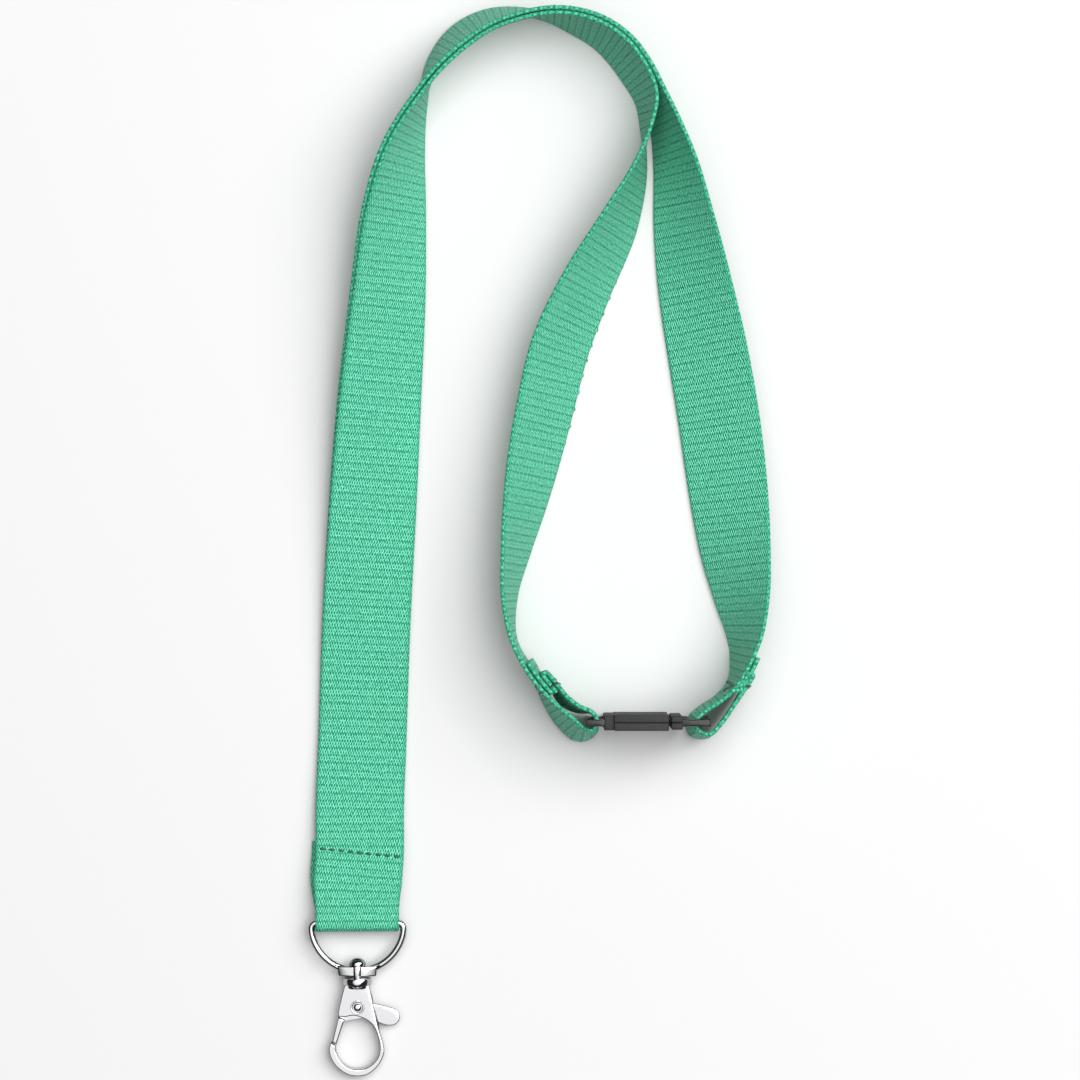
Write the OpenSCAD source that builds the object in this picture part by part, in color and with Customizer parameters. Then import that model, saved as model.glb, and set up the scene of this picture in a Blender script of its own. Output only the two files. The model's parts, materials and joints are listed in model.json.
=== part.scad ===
// Lanyard badge holder: two lengths of ribbed webbing sewn into one neck strap.
// At the sewn end they hold a D-ring with a swivelling lobster claw, and at the
// neck end they loop through the two halves of a breakaway buckle.
// The strap lies on the table (z = 0), mostly standing on its edge.
// X runs across the strap, Y from the claw up to the neck arch, Z up.

/* [Webbing] */
// Width of the webbing
strap_w = 20; // [18:0.5:24]
// Thickness of one layer of webbing
strap_t = 1; // [0.8:0.05:1.2]
// Air left between two layers of webbing
layer_gap = 0.2; // [0.12:0.02:0.3]
// How far the webbing is pinched in where it wraps the D-ring
fold_pinch = 1.1; // [0.8:0.1:1.4]
// Length of the tail sewn up behind the D-ring
tail_len = 19; // [14:1:24]
// Length of the stub turned under at each buckle hem
hem_len = 5.5; // [4:0.5:7]
// Radius of the sewing thread
thread_r = 0.18; // [0.12:0.02:0.25]

/* [D-ring] */
// Diameter of the D-ring's bar and arms
wire_d = 1.6; // [1.4:0.1:1.8]
// Play between the webbing and the D-ring, on every side
ring_play = 0.2; // [0.15:0.05:0.3]
// Distance from the bar to the far side of the swivel boss
ring_depth = 12.1; // [11:0.1:14]
// Radius of the swivel boss
boss_r = 2.3; // [2:0.1:2.8]
// Length of the swivel boss
boss_h = 2.3; // [1.8:0.1:3]

/* [Swivel] */
// Radius of the stud's shank
stud_r = 1.2; // [0.9:0.05:1.3]
// Radius of the stud's domed head
stud_head_r = 1.9; // [1.6:0.1:2.1]
// Running clearance of the stud, radial
run_gap = 0.05; // [0.02:0.01:0.09]
// Radius of the claw's collar
collar_r = 3.25; // [2.8:0.05:3.6]
// Height of the claw's collar
collar_h = 1.9; // [1.5:0.1:2.4]

/* [Claw] */
// Thickness of the claw casting
claw_t = 3.4; // [3.2:0.1:4]
// Distance from the bar to the gate's rivet
rivet_dist = 19.1; // [18.8:0.1:20.5]
// Distance from the rivet to the centre of the ring
ring_drop = 9.6; // [9.2:0.1:10.4]
// Inner radius of the ring
ring_in_r = 4.7; // [4.5:0.1:5]
// Outer radius of the ring
ring_out_r = 6.2; // [6:0.1:6.8]
// Radius of the rivet's shank
rivet_r = 0.75; // [0.6:0.05:0.85]
// Thickness of the gate's lever plate
plate_t = 1; // [0.8:0.1:1.1]
// Thickness of the gate where it closes the ring
gate_t = 3; // [2.4:0.1:3.2]
// Distance from the rivet to the gate's tip
gate_reach = 10; // [9.6:0.1:10.4]
// Distance from the rivet to the centre of the lever's round end
lever_reach = 7.7; // [7:0.1:9]
// Half the width of the lever
lever_half_w = 1.85; // [1.5:0.05:2]

/* [Buckle] */
// Thickness of the socket's body
socket_t = 3.6; // [3.2:0.1:4.4]
// Length of the socket's full-width body
socket_len = 12.2; // [11:0.2:14]
// Thickness of the side arms and slots' side walls
side_t = 2; // [1.6:0.1:2.6]
// Play of the webbing in the slots, each side
slot_play = 0.2; // [0.15:0.05:0.4]
// Length of the plug's prong inside the socket
prong_len = 10.2; // [8:0.2:10.4]
// Clearance between prong and socket, each side
prong_gap = 0.1; // [0.05:0.05:0.2]
// Thickness of the plug's shoulder
shoulder_t = 3.1; // [2.6:0.1:3.6]
// Length of the plug's shoulder
shoulder_len = 2.7; // [2:0.1:3.2]

/* [Hidden] */
$fn = 48;
webbing = [0.25, 0.68, 0.52];
thread_colour = [0.55, 0.80, 0.68];
nickel = [0.80, 0.81, 0.83];
black_plastic = [0.12, 0.12, 0.13];

// Where the D-ring's bar and the meeting faces of the buckle lie on the table
hook_x = -41;
bar_y = -85.5;
buckle_x = 29.4;
buckle_y = -39.6;

// The claw rests on its collar and on the tip of its ring
bar_r = wire_d / 2;
collar_top = ring_depth + 0.3;
collar_end = collar_top + collar_h;
tip_dist = rivet_dist + ring_drop + ring_out_r;
hook_tilt = atan((collar_r - claw_t / 2) / (tip_dist - collar_end));
bar_z = collar_r * cos(hook_tilt) + collar_end * sin(hook_tilt);

// Layers of webbing, from the gap between the two straps outwards
layer_off = (strap_t + layer_gap) / 2;
tail_off = layer_gap / 2 + strap_t + layer_gap + strap_t / 2;
stack_t = 2 * strap_t + layer_gap;
wrap_r = bar_r + ring_play + strap_t / 2;
fold_w = strap_w - fold_pinch;
fold_lift = bar_z + wrap_r - layer_off - stack_t / 2;

// Buckle widths follow the webbing
buckle_w = strap_w + 2 * (slot_play + side_t);
buckle_lift = (buckle_w - strap_w) / 2;

// Stations of the two straps where they run together, from the D-ring to the
// shoulder of the arch: [x, y, lean from flat, share of the lift at the fold]
both_route = [
    [hook_x, bar_y + 2, 0, 0.94], [-41, -78, 0, 0.75], [-40.5, -70, 0, 0.5],
    [-40.5, -60, 0, 0.2], [-40, -46, 0, 0], [-39, -17, 3, 0], [-37.5, 10, 12, 0],
    [-36, 33, 24, 0], [-34, 57, 37, 0], [-32.5, 76, 50, 0], [-30.5, 89, 66, 0],
    [-27, 100, 85, 0], [-22.5, 109.5, 101, 0], [-17.5, 115, 106, 0],
    [-11.5, 118.5, 104, 0], [-4.5, 120, 98, 0], [2, 120, 90, 0],
    [8, 118.5, 82, 0], [14.5, 115.5, 77, 0], [19.5, 111, 74, 0], [22, 107.5, 74, 0]];

// The inner strap alone, down to the socket, round its bar and back to the hem:
// [x, y, lean, share of the buckle's lift]
inner_route = [
    [24.5, 101, 77, 0], [24.5, 95, 84, 0], [23, 85.5, 98, 0], [18.5, 73.5, 114, 0],
    [10.5, 58, 125, 0], [5, 45, 130, 0], [1.5, 31, 129, 0], [-1, 19.5, 125, 0],
    [-3, 9.5, 118, 0], [-5, -1, 108, 0.1], [-6.5, -12, 98, 0.3], [-5.5, -21.5, 92, 0.6],
    [-1.5, -29, 92, 0.9], [2.5, -35.5, 84, 1], [6.5, -40, 79, 1], [10, -42.5, 80, 1],
    [12.5, -41.8, 86, 1], [13.2, -39.8, 90, 1], [12.4, -37.8, 91, 1], [9, -36.8, 95, 1],
    [6, -35, 97, 1], [3.5, -31.5, 95, 1], [1.7, -29, 94, 0.95]];

// The outer strap alone, down to the plug, round its bar and back to the hem
outer_route = [
    [26.5, 101.2, 77, 0], [29, 94.2, 71.5, 0], [30.8, 87, 63.5, 0], [33, 73, 48, 0],
    [35.5, 58.5, 35, 0], [38.5, 43, 27, 0], [41, 28, 25, 0], [43, 12.5, 29, 0],
    [44.5, -0.5, 39, 0.1], [46, -12, 54, 0.2], [46.5, -20, 68, 0.4], [45.7, -26, 79, 0.7],
    [43.7, -31.5, 86, 0.95], [40.5, -34.7, 88, 1], [37, -37, 88, 1], [34.8, -39.3, 87, 1],
    [35.2, -42, 84, 1], [38.3, -42.8, 87, 1], [41.2, -40, 88, 1], [44, -36, 88, 1],
    [46.2, -32.5, 89, 1], [48, -29.5, 90, 1]];
// Height in the route where the outer strap is parted, so its end can follow the plug
part_y = 20;

// ---- routes, frames and sweeps ------------------------------------------------

function chord(a, b) = norm([b[0] - a[0], b[1] - a[1]]);
function slope(rows, i) =
    i == 0 ? (rows[1] - rows[0]) / chord(rows[0], rows[1]) :
    i == len(rows) - 1 ? (rows[i] - rows[i - 1]) / chord(rows[i - 1], rows[i]) :
    let (a = chord(rows[i - 1], rows[i]), b = chord(rows[i], rows[i + 1]))
    ((rows[i] - rows[i - 1]) / a * b + (rows[i + 1] - rows[i]) / b * a) / (a + b);
function between(rows, i, t) =
    let (h = chord(rows[i], rows[i + 1]))
    (2 * pow(t, 3) - 3 * t * t + 1) * rows[i] + (pow(t, 3) - 2 * t * t + t) * h * slope(rows, i)
    + (3 * t * t - 2 * pow(t, 3)) * rows[i + 1] + (pow(t, 3) - t * t) * h * slope(rows, i + 1);
// A smooth line through the stations, from station number first on
function smooth(rows, first = 0) = concat(
    [for (i = [first : len(rows) - 2])
        let (steps = max(3, round(chord(rows[i], rows[i + 1]) / 4)))
        for (j = [0 : steps - 1]) between(rows, i, j / steps)],
    [rows[len(rows) - 1]]);

// Height of the webbing's centre when its lower edge rests on the table
function rest_z(lean, thick) =
    strap_w / 2 * abs(sin(lean)) + thick / 2 * abs(cos(lean));
function centre(row, thick, lift) =
    [row[0], row[1], rest_z(row[2], thick) + row[3] * lift];
function unit(v) = v / norm(v);
// Frames [centre, across, face normal, width] for smoothed rows
function frames(rows, thick, lift) =
    let (c = [for (r = rows) centre(r, thick, lift)], last = len(c) - 1)
    [for (i = [0 : last])
        let (along = c[min(i + 1, last)] - c[max(i - 1, 0)],
             left = unit([-along[1], along[0], 0]),
             lean = rows[i][2])
        [c[i], left * cos(lean) + [0, 0, sin(lean)],
         [0, 0, cos(lean)] - left * sin(lean), hook_w(c[i])]];
// The webbing narrows to fold_w where it wraps the D-ring
function hook_w(p) =
    p[0] > hook_x + strap_w ? strap_w :
    fold_w + fold_pinch * min(1, max(0, (p[1] - bar_y - 3) / 6));
function shifted(f, d) = [f[0] + d * f[2], f[1], f[2], f[3]];
function flipped(f) = [f[0], f[1], -f[2], f[3]];
function reversed(list) = [for (i = [len(list) - 1 : -1 : 0]) list[i]];
function keep(list, from_i, to_i) = [for (i = [from_i : to_i]) list[i]];

both_frames = frames(smooth(both_route), stack_t, fold_lift);
// A layer's own stations start from the last frames of the shared run
function joined(route, d) =
    let (n = len(both_frames) - 1, lean = both_route[len(both_route) - 1][2],
         p = shifted(both_frames[n - 3], d)[0], q = shifted(both_frames[n], d)[0])
    concat([[p[0], p[1], lean, 0],
            [q[0], q[1], lean, (q[2] - rest_z(lean, strap_t)) / buckle_lift]], route);
inner_rows = smooth(joined(inner_route, layer_off), 1);
outer_rows = smooth(joined(outer_route, -layer_off), 1);
inner_frames = frames(inner_rows, strap_t, buckle_lift);
outer_frames = frames(outer_rows, strap_t, buckle_lift);

// The hem: the end is folded back under itself, towards the strap it is sewn to
hem_off = strap_t + layer_gap;
function hem(list) =
    let (f = list[len(list) - 1], g = list[len(list) - 2],
         along = unit(f[0] - g[0]), pivot = f[0] - f[2] * hem_off / 2,
         back = [for (i = [len(list) - 1 : -1 : 0])
             if (norm(list[i][0] - f[0]) < hem_len) list[i]])
    concat(
        [for (a = [20 : 20 : 160])
            [pivot + hem_off / 2 * (cos(a) * f[2] + sin(a) * along), f[1],
             cos(a) * f[2] + sin(a) * along, f[3]]],
        [for (b = back) [b[0] - b[2] * hem_off, b[1], -b[2], b[3]]]);

// Rings of four corners, joined into one closed strip of webbing
module webbing_strip(list, t = strap_t) {
    n = len(list);
    points = [for (f = list) for (c = [[1, 1], [-1, 1], [-1, -1], [1, -1]])
        f[0] + f[1] * c[0] * f[3] / 2 + f[2] * c[1] * t / 2];
    // the two faces are split along the same diagonal, so that layers stay parallel
    sides = [for (i = [0 : n - 2]) for (k = [0 : 3])
        let (a = 4 * i + k, b = 4 * i + (k + 1) % 4)
        each k == 2 ? [[a, b, a + 4], [b, b + 4, a + 4]] : [[a, b, b + 4], [a, b + 4, a + 4]]];
    ends = [[0, 3, 2], [0, 2, 1],
            [4 * n - 4, 4 * n - 3, 4 * n - 2], [4 * n - 4, 4 * n - 2, 4 * n - 1]];
    polyhedron(points, concat(sides, ends));
}

// A round wire or thread along a line of points
module tube(line, r, sides) {
    n = len(line);
    points = [for (i = [0 : n - 1])
        let (before = unit(line[i] - line[max(i - 1, 0)] + (i == 0 ? line[1] - line[0] : [0, 0, 0])),
             after = unit(line[min(i + 1, n - 1)] - line[i] + (i == n - 1 ? line[i] - line[i - 1] : [0, 0, 0])),
             along = unit(before + after),
             side = tube_side(line, i), out = unit(side - along * (side * along)),
             wide = 1 / max(0.5, along * before), bend = unit_or(before - after, out))
        for (k = [0 : sides - 1])
            let (d = cos(360 * k / sides) * out + sin(360 * k / sides) * cross(out, along))
            line[i] + r * (d + (wide - 1) * (d * bend) * bend)];
    polyhedron(points, concat(
        [for (i = [0 : n - 2]) for (k = [0 : sides - 1])
            let (a = sides * i + k, b = sides * i + (k + 1) % sides)
            each [[a, b, b + sides], [a, b + sides, a + sides]]],
        [[for (k = [sides - 1 : -1 : 0]) k]],
        [[for (k = [0 : sides - 1]) sides * (n - 1) + k]]));
}
function unit_or(v, other) = norm(v) < 0.001 ? other : unit(v);
// A direction square to the plane the line bends in
function tube_side(line, i) =
    let (n = len(line), a = max(0, min(i - 1, n - 3)))
    unit_or(cross(line[a + 1] - line[a], line[a + 2] - line[a + 1]), [0, 0, 1]);

// ---- webbing ------------------------------------------------------------------

// The hook end of the front strap: the tail behind, then round the bar
function hook_wrap() =
    let (start = [for (f = both_frames) if (f[0][1] < bar_y + tail_len) f])
    concat(
        [for (f = reversed(start)) flipped(shifted(f, -tail_off))],
        [for (a = [-90 : 18 : 90])
            let (out = [0, -cos(a), sin(a)])
            [[hook_x, bar_y, bar_z] + wrap_r * out, both_frames[0][1], out, fold_w]]);

front_line = concat(hook_wrap(), [for (f = both_frames) shifted(f, layer_off)],
    keep(inner_frames, 1, len(inner_frames) - 1));
parted = [for (i = [0 : len(outer_frames) - 1])
    if (outer_frames[i][0][1] >= part_y && i < len(outer_frames) / 2) i];
part_i = parted[len(parted) - 1];
back_line = concat([for (f = both_frames) shifted(f, -layer_off)],
    keep(outer_frames, 1, part_i));
end_line = keep(outer_frames, part_i, len(outer_frames) - 1);
// The two cut faces stand this far apart
part_gap = 0.3;

module strap_front()
    color(webbing) webbing_strip(concat(front_line, hem(front_line)));

module strap_back()
    color(webbing) webbing_strip(back_line);

module strap_back_end() {
    first = end_line[0];
    step = unit(end_line[1][0] - first[0]) * part_gap;
    moved = [first[0] + step, first[1], first[2], first[3]];
    rest = keep(end_line, 1, len(end_line) - 1);
    color(webbing) webbing_strip(concat([moved], rest, hem(end_line)));
}

// ---- sewing -------------------------------------------------------------------

// One thread sewn through the layers: up a needle hole, along to the next, down it
// and along underneath, with rows of points on the two outer faces
module stitches(top, under) {
    line = [for (i = [0 : len(top) - 1]) each i % 2 == 0 ? [under[i], top[i]] : [top[i], under[i]]];
    tube(line, thread_r, 8);
}

stitch_y = -70;
stitch_slant = 6;
stitch_pitch = 2;
stitch_half = 9;
both_height = [for (f = both_frames) if (f[0][1] < -40) [f[0][1], f[0][2]]];

module hook_end_stitches() {
    holes = [for (x = [-stitch_half : stitch_pitch : stitch_half])
        [both_frames[6][0][0] + x, stitch_y - x * tan(stitch_slant)]];
    up = strap_t + layer_gap / 2 + thread_r / 2;
    down = tail_off + strap_t / 2 + thread_r / 2;
    color(thread_colour) stitches(
        [for (h = holes) [h[0], h[1], lookup(h[1], both_height) + up]],
        [for (h = holes) [h[0], h[1], lookup(h[1], both_height) - down]]);
}

// The frame of a line nearest to a point, counted from a first number
function nearest(list, p, from_i, to_i) =
    let (d = [for (i = [from_i : to_i]) chord(list[i][0], p)], low = min(d))
    list[from_i + [for (i = [0 : len(d) - 1]) if (d[i] == low) i][0]];

// A row of stitches up the webbing where a hem lies against its own strap
module hem_stitches(list, main_p, tail_p) {
    n = len(list);
    main = nearest(list, main_p, 0, n - 9);
    tail = nearest(list, tail_p, n - 8, n - 1);
    out = strap_t / 2 + thread_r / 2;
    reach = strap_w / 2 - 1.2;
    heights = [for (i = [0 : 8]) -reach + i * reach / 4];
    color(thread_colour) stitches(
        [for (s = heights) main[0] + main[1] * s + main[2] * out],
        [for (s = heights) tail[0] + tail[1] * s + tail[2] * out]);
}

socket_seam = [0.3, -31.8];
socket_hem = [3.1, -31];
plug_seam = [43.9, -31.2];
plug_hem = [46.5, -32];

module socket_loop_stitches() hem_stitches(inner_frames, socket_seam, socket_hem);
module plug_loop_stitches() hem_stitches(outer_frames, plug_seam, plug_hem);

// ---- D-ring and swivel --------------------------------------------------------

// The hook's own frame: origin on the bar, -Y towards the tip of the claw
module hook_frame()
    translate([hook_x, bar_y, bar_z]) rotate([hook_tilt, 0, 0]) children();

ring_half = fold_w / 2 + ring_play + wire_d / 2;
ring_corner = 1.3;
boss_top = ring_depth - boss_h;
boss_mid = ring_depth - boss_h / 2;
// Each arm is a tight corner, a side arc and a wide arc that runs into the boss,
// all tangent to one another
side_r = 7;
side_reach = ring_half - side_r;
side_drop = boss_mid - ring_corner - side_r;
wide_r = side_r + (pow(side_reach, 2) + pow(side_drop, 2)) / (2 * side_drop);
side_angle = acos(side_reach / (wide_r - side_r));

// A bent length of wire: a round section swept about a centre
module wire_arc(centre, r, from_a, sweep, section_r = bar_r)
    translate(centre) rotate(from_a) rotate_extrude(angle = sweep)
        translate([r, 0]) circle(r = section_r, $fn = 24);

// Neighbouring lengths of wire lap by a little, and the next one is a hair thicker
lap = 0.1;
lap_angle = 1;
hair = 0.02;

module ring_arm() {
    wire_arc([ring_half - ring_corner, -ring_corner, 0], ring_corner, 0, 90);
    wire_arc([side_reach, -ring_corner, 0], side_r, -side_angle, side_angle + lap_angle, bar_r + hair);
    wire_arc([0, wide_r - boss_mid, 0], wide_r, -84, 84 - side_angle + lap_angle, bar_r + 2 * hair);
}

module d_ring() color(nickel) hook_frame() difference() {
    union() {
        translate([ring_corner - ring_half - lap, 0, 0]) rotate([0, 90, 0])
            cylinder(r = bar_r + hair, h = 2 * (ring_half - ring_corner + lap), $fn = 24);
        ring_arm();
        mirror([1, 0, 0]) ring_arm();
        translate([0, -boss_top, 0]) rotate([90, 0, 0]) cylinder(r = boss_r, h = boss_h);
    }
    translate([0, -boss_top + 1, 0]) rotate([90, 0, 0]) cylinder(r = stud_r + run_gap, h = boss_h + 2);
}

stud_end = collar_end + 0.8;
head_h = 1.8;
module swivel_stud() color(nickel) hook_frame() rotate([90, 0, 0]) {
    // Domed head inside the D, shank through the boss and into the claw
    translate([0, 0, boss_top - run_gap - head_h])
        rotate_extrude() {
            polygon(concat([[0, head_h], [0, 0]],
                [for (a = [80 : -10 : 0]) [stud_head_r * cos(a), 0.8 * head_h * (1 - sin(a))]],
                [[stud_head_r, head_h]]));
        }
    translate([0, 0, boss_top - run_gap - 0.4]) cylinder(r = stud_r, h = stud_end - boss_top + run_gap + 0.4);
}

// ---- claw ---------------------------------------------------------------------

// The claw's own frame: origin on the rivet
module claw_frame() hook_frame() translate([0, -rivet_dist, 0]) children();

neck_y = rivet_dist - collar_end;
neck_half = 2.9;
cheek_half = 4.45;
rivet_face_r = 1.5;
slot_t = claw_t - 1.4;
slot_top = 3;
slot_low = 5.2;
mitre_gap = 0.15;

// Right flank and ring, as one filled outline
module claw_outline() {
    polygon(concat(
        [[-neck_half, neck_y], [neck_half, neck_y], [3.9, 0.2], [4.9, -5.2]],
        [for (a = [8 : -8 : -184]) [ring_out_r * cos(a), -ring_drop + ring_out_r * sin(a)]],
        [[-cheek_half, -1.5]]));
}

// The egg-shaped opening: a round seat below and a taller arch above
module claw_opening() {
    translate([0, -ring_drop]) circle(r = ring_in_r);
    polygon(concat(
        [for (a = [0 : 7.5 : 105]) [-0.6 + (ring_in_r + 0.7) * cos(a), -ring_drop + 0.6 + 7.2 * sin(a)]],
        [[-2.8, -2.6], [-ring_in_r, -ring_drop]]));
}

// The side that the gate closes, from the cheek's mitre down to the nose
module gate_side() {
    difference() {
        polygon([[-2.6, -2.72], [-4.6, -1.42], [-9, -2], [-9, -12], [-3, -9]]);
        nose();
    }
}
module nose() difference() {
    translate([-10, -15]) square([10, 13]);
    circle(r = gate_reach + mitre_gap);
}

module claw_body() color(nickel) claw_frame() difference() {
    union() {
        translate([0, 0, -claw_t / 2]) linear_extrude(claw_t) difference() {
            claw_outline();
            claw_opening();
            gate_side();
        }
        // collar, and the neck that blends it into the plate
        translate([0, neck_y + collar_h, 0]) rotate([90, 0, 0]) cylinder(r = collar_r, h = collar_h);
        hull() {
            translate([0, neck_y + 0.3, 0]) rotate([90, 0, 0]) cylinder(r = neck_half, h = 0.6, $fn = 32);
            translate([-3.4, 2, -claw_t / 2]) cube([6.8, 0.6, claw_t]);
        }
    }
    // slot for the lever plate and its spring
    translate([-8, -slot_low, -slot_t / 2]) cube([16, slot_low + slot_top, slot_t]);
    cylinder(r = rivet_r, h = claw_t + 2, center = true);
    for (s = [-1, 1]) translate([0, 0, s * claw_t / 2])
        cylinder(r = rivet_face_r, h = 0.3, center = true);
    // seat of the swivel stud
    translate([0, rivet_dist - stud_end, 0]) rotate([-90, 0, 0]) cylinder(r = stud_r, h = 5);
}

plate_z = -slot_t / 2 + 0.1;
module gate_lever() color(nickel) claw_frame() difference() {
    union() {
        translate([0, 0, plate_z]) linear_extrude(plate_t) {
            circle(r = 2);
            lever_arm();
            polygon([[-1, 1.2], [-1, -1.7], [-3.7, -3.9], [-4.6, -1.9]]);
        }
        translate([0, 0, -gate_t / 2]) linear_extrude(gate_t) gate_bar();
    }
    cylinder(r = rivet_r + run_gap, h = claw_t + 2, center = true);
}
// The lever leans down to the right of the rivet and ends in a half round
module lever_arm() {
    lean = -11;
    tip = [lever_reach, -2.5];
    translate(tip) circle(r = lever_half_w);
    translate(tip) rotate(lean) translate([-lever_reach, -lever_half_w])
        square([lever_reach, 2 * lever_half_w]);
}
// The gate itself: a straight bar whose tip is an arc about the rivet
module gate_bar() intersection() {
    polygon([[-4.5, -1.72], [-3, -2.72], [-5.2, -11], [-6.9, -11]]);
    circle(r = gate_reach, $fn = 96);
}

// Torsion spring: three turns round the rivet, with one leg on the cheek's
// slot and one along the lever
spring_r = 1.25;
spring_wire = 0.11;
spring_turns = 3;
spring_pitch = 0.2;
spring_z = plate_z + plate_t + 0.16;
spring_line = concat(
    [[spring_r, 2, spring_z]],
    [for (a = [0 : 30 : 360 * spring_turns])
        [spring_r * cos(a), spring_r * sin(a), spring_z + a / 360 * spring_pitch]],
    [[spring_r + 1.2, -1.6, spring_z + spring_turns * spring_pitch]]);

module gate_spring() color(nickel) claw_frame() tube(spring_line, spring_wire, 6);

rivet_head_r = 1;
module gate_rivet() color(nickel) claw_frame() {
    cylinder(r = rivet_r, h = claw_t - 0.3, center = true);
    for (s = [0, 1]) mirror([0, 0, s]) translate([0, 0, claw_t / 2 - 0.15])
        rotate_extrude() polygon(concat([[0, 0], [rivet_head_r, 0]],
            [for (a = [0 : 15 : 90]) [rivet_head_r * cos(a), 0.1 + 0.4 * sin(a)]]));
}

// ---- buckle -------------------------------------------------------------------

arm_t = 1.74;
arm_in = side_t;
arm_out = 0.6;
socket_step = 2.5;
step_inset = 0.8;
socket_arm = 3.1;
bar_thin = 0.85;
bar_thick = 1;
plug_arm = 5.3;
pocket_half = 0.95;
pocket_wall = 4.2;
pocket_end = 0.6;
prong_slit = 4;
prong_root = 1.5;
// Half the line that shows between socket and plug
split_gap = 0.2;
// Where the socket's body, its step and its bar begin, from the meeting faces back
body_x = -split_gap - socket_len;
step_x = body_x - socket_step;
socket_bar_x = step_x - socket_arm;
// Where the plug's shoulder ends and its bar lies
shoulder_x = split_gap + shoulder_len;
plug_bar_x = shoulder_x + plug_arm;

// A block centred on the buckle's mid plane, from x0 to x1 along the buckle
module slab(x0, x1, t, z0, z1)
    translate([buckle_x + x0, buckle_y - t / 2, z0]) cube([x1 - x0, t, z1 - z0]);
// The same with its four long edges cut back at 45 degrees
module bevelled_slab(x0, x1, t, z0, z1, cut = 0.4) {
    half = [t / 2, (z1 - z0) / 2];
    translate([buckle_x + x0, buckle_y, (z0 + z1) / 2]) rotate([90, 0, 90]) linear_extrude(x1 - x0)
        polygon([[half[0] - cut, half[1]], [cut - half[0], half[1]],
                 [-half[0], half[1] - cut], [-half[0], cut - half[1]],
                 [cut - half[0], -half[1]], [half[0] - cut, -half[1]],
                 [half[0], cut - half[1]], [half[0], half[1] - cut]]);
}

// Two side arms and the round bar that the webbing loops round
module strap_frame(x0, x1, bar_x, r) {
    for (z = [arm_out, buckle_w - arm_in])
        slab(x0, x1, arm_t, z, z + arm_in - arm_out);
    translate([buckle_x + bar_x, buckle_y, arm_out]) cylinder(r = r, h = buckle_w - 2 * arm_out);
}

module buckle_socket() color(black_plastic) difference() {
    union() {
        bevelled_slab(body_x, -split_gap, socket_t, 0, buckle_w);
        bevelled_slab(step_x, body_x, socket_t - 0.2, step_inset, buckle_w - step_inset);
        strap_frame(socket_bar_x, step_x, socket_bar_x, bar_thin);
    }
    // pocket for the prong
    slab(-split_gap - prong_len - pocket_end, 1, 2 * pocket_half, pocket_wall, buckle_w - pocket_wall);
}

module buckle_plug() color(black_plastic) {
    bevelled_slab(split_gap, shoulder_x, shoulder_t, 0, buckle_w);
    strap_frame(shoulder_x, plug_bar_x, plug_bar_x, bar_thick);
    // prong with a split that lets its two catches spring together
    difference() {
        slab(-split_gap - prong_len, split_gap, 2 * (pocket_half - prong_gap),
            pocket_wall + prong_gap, buckle_w - pocket_wall - prong_gap);
        slab(-split_gap - prong_len - 1, -split_gap - prong_root, socket_t,
            (buckle_w - prong_slit) / 2, (buckle_w + prong_slit) / 2);
    }
}

strap_front();
strap_back();
strap_back_end();
hook_end_stitches();
socket_loop_stitches();
plug_loop_stitches();
d_ring();
swivel_stud();
claw_body();
gate_lever();
gate_spring();
gate_rivet();
buckle_socket();
buckle_plug();
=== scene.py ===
# %% [markdown]
# # Lanyard badge holder
# A neck lanyard is two lengths of ribbed webbing sewn together. One end is folded round the bar of a
# D-ring that carries a swivelling lobster claw. At the neck the two lengths part and loop through the
# halves of a breakaway buckle. It lies on a table, mostly standing on the edge of its webbing.
#
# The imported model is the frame: it gives every joint, body and size. The script lays detailed pieces in
# the places that the frame gives and lets each ride on the body it belongs to.

# %% Load the frame
import json
import math

import bmesh
import bpy
import numpy as np
from mathutils import Matrix, Vector


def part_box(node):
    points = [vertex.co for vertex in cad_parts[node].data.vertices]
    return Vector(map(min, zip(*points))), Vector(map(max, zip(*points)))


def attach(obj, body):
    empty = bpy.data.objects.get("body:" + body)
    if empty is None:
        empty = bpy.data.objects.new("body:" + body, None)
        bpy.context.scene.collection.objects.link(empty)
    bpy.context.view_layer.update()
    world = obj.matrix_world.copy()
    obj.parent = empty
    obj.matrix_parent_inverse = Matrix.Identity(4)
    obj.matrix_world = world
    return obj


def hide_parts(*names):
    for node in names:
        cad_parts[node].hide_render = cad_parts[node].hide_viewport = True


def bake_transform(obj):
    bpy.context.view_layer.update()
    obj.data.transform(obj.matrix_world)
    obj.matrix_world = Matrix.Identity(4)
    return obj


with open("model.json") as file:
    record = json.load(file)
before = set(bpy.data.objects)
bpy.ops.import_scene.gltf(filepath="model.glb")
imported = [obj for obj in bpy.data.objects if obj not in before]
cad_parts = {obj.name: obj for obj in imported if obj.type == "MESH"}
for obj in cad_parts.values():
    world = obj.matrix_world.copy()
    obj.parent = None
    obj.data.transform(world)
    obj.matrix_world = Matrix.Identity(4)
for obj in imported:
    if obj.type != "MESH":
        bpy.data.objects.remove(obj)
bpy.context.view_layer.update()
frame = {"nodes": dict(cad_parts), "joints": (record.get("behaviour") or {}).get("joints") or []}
MM = 0.001
JOINT = {j["name"]: j for j in frame["joints"]}

# %% [markdown]
# ## Camera
# The lanyard is seen from straight above. A long lens from 1.4 m keeps the perspective as slight as it is
# over a product table, while the standing webbing still shows a little of its inner wall.

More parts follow.
